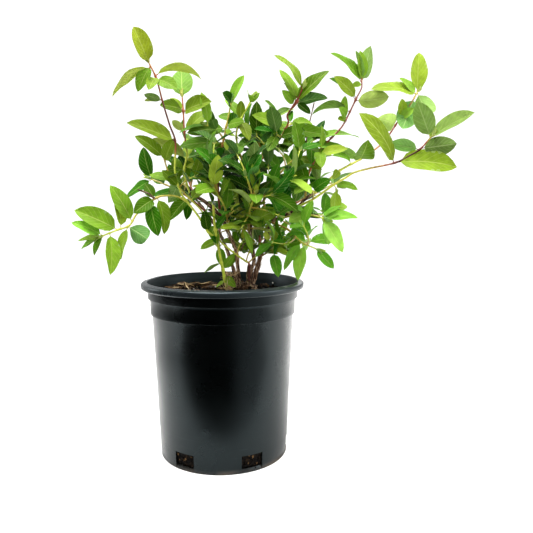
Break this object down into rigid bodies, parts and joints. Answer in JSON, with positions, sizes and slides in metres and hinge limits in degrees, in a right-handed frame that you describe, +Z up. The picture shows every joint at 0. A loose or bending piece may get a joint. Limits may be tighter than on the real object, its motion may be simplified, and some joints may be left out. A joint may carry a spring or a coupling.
{
  "type": "potted haskap bush",
  "caption": "Young haskap (blue honeysuckle) shrub with paired oval leaves on woody canes, growing from potting mix in a round tapered nursery pot.",
  "frame": {"origin": "centre of the pot's flat base, on the surface that it stands on", "axes": "+Z up; -Y towards the front, the side with the long shoots seen broadside; +X to the right of that view, where the longest shoots reach"},
  "size_m": [0.3761, 0.2097, 0.4189],
  "materials": {
    "pot_plastic": "blow-moulded black polyethylene, satin, scuffed and dusty",
    "potting_mix": "moist peat and composted bark, crumbly, matt",
    "bark": "split bark chips, dry, rough",
    "old_wood": "grey-brown peeling bark of canes",
    "young_stem": "smooth yellow-green to red-brown young shoots, satin",
    "leaf": "thin living leaf, waxy upper face, paler underside, light shows through"
  },
  "bodies": {
    "root": {"bare_twig_right": "old_wood", "bark_chip_1": "bark", "bark_chip_2": "bark", "bark_chip_3": "bark", "bark_chip_4": "bark", "bark_chip_5": "bark", "bark_chip_6": "bark", "bark_chip_7": "bark", "bark_chip_8": "bark", "cane_back_left": "old_wood", "cane_back_right": "old_wood", "cane_left": "old_wood", "cane_middle": "old_wood", "cane_right": "old_wood", "cut_twig_left": "old_wood", "dead_twig_left": "old_wood", "dead_twig_right": "old_wood", "pot": "pot_plastic", "root_crown": "old_wood", "shoot_back_centre": "leaf", "shoot_back_far_left": "leaf", "shoot_back_far_right": "leaf", "shoot_back_left": "leaf", "shoot_back_right": "leaf", "shoot_back_top": "leaf", "shoot_centre_right": "leaf", "shoot_far_right": "leaf", "shoot_front_left": "leaf", "shoot_front_middle": "leaf", "shoot_front_right": "leaf", "shoot_green": "leaf", "shoot_hanging_right": "leaf", "shoot_inner_left": "leaf", "shoot_left_core": "leaf", "shoot_low_left": "leaf", "shoot_low_right": "leaf", "shoot_right": "leaf", "shoot_tall_left": "leaf", "shoot_top_centre": "leaf", "shoot_top_left": "leaf", "shoot_top_middle": "leaf", "shoot_upper_right": "leaf", "soil": "potting_mix"}
  },
  "joints": []
}
